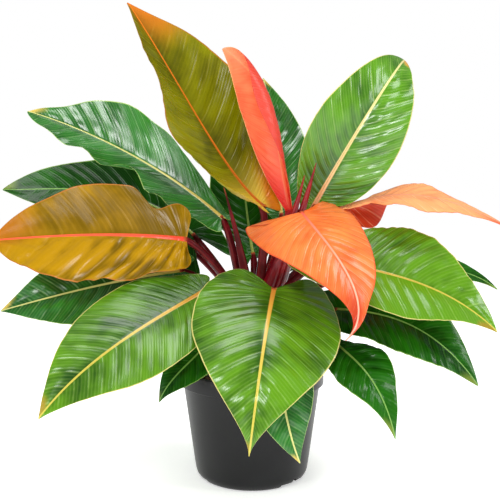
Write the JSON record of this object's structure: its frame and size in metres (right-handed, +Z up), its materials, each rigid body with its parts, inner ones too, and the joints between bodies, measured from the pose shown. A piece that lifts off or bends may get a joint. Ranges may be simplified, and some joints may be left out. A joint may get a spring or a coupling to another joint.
{
  "type": "potted foliage plant",
  "caption": "Prince of orange philodendron in a round nursery pot: glossy pointed leaves in green, bronze and orange spread on dark red stalks from one short stem.",
  "frame": {"origin": "on the floor under the middle of the pot", "axes": "+Z up, -Y towards the front of the picture, +X to the viewer's right"},
  "size_m": [0.5999, 0.4163, 0.5333],
  "materials": {
    "leaf_green": "gloss",
    "leaf_dark_green": "gloss",
    "leaf_bronze": "gloss",
    "leaf_golden": "gloss",
    "leaf_orange": "gloss",
    "leaf_coral": "gloss",
    "stalk": "satin",
    "pot": "satin",
    "compost": "matte"
  },
  "bodies": {
    "root": {"pot": "pot", "soil": "compost", "stem_and_stalks": "stalk", "blade_top_bronze": "leaf_bronze", "blade_new_coral": "leaf_coral", "blade_golden_left": "leaf_golden", "blade_front_orange": "leaf_orange", "blade_right_orange": "leaf_orange", "blade_upper_left": "leaf_green", "blade_low_left": "leaf_green", "blade_front_left": "leaf_green", "blade_front_centre": "leaf_green", "blade_upper_right": "leaf_green", "blade_right_green": "leaf_green", "blade_under_centre": "leaf_green", "blade_back_left": "leaf_green", "blade_back_right": "leaf_green", "blade_dark_left": "leaf_dark_green", "blade_behind_new": "leaf_dark_green", "blade_right_back": "leaf_dark_green", "blade_right_lower": "leaf_dark_green", "blade_right_drooping": "leaf_dark_green", "blade_rim_left": "leaf_dark_green", "blade_behind_bronze": "leaf_dark_green", "blade_back_low": "leaf_dark_green", "blade_back_upper": "leaf_dark_green"}
  },
  "joints": []
}
